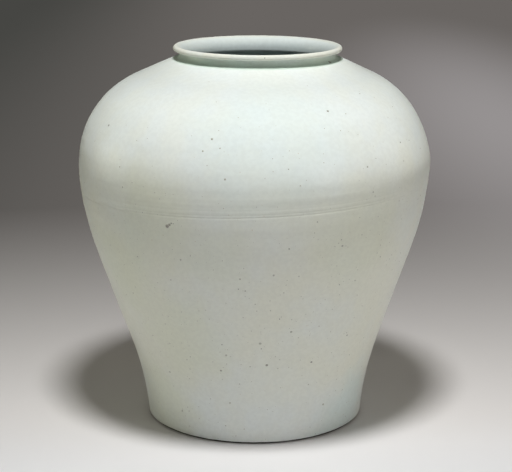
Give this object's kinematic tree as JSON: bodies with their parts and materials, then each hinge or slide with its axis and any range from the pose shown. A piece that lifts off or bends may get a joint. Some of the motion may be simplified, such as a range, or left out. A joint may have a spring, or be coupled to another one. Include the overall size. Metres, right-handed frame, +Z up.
{
  "type": "storage jar",
  "caption": "Tall high-shouldered white porcelain storage jar on a narrow turned foot, open at the top, with a short hollow-sided neck and an outward-rolled lip.",
  "frame": {"origin": "centre of the foot's resting face, on the ground", "axes": "+Z up along the jar's axis, -Y towards the viewer of the reference picture, +X to the viewer's right"},
  "size_m": [0.3729, 0.373, 0.4],
  "materials": {
    "glazed_porcelain": "clear, faintly bluish glaze over white porcelain, glossy and slightly uneven",
    "bare_porcelain": "glazed on the outside, with an unglazed resting face of pale warm clay"
  },
  "bodies": {
    "root": {"base_disc": "glazed_porcelain", "foot_ring": "bare_porcelain", "lower_wall": "glazed_porcelain", "waist_slip": "glazed_porcelain", "upper_wall": "glazed_porcelain", "neck_collar": "glazed_porcelain", "rolled_lip": "glazed_porcelain"}
  },
  "joints": []
}
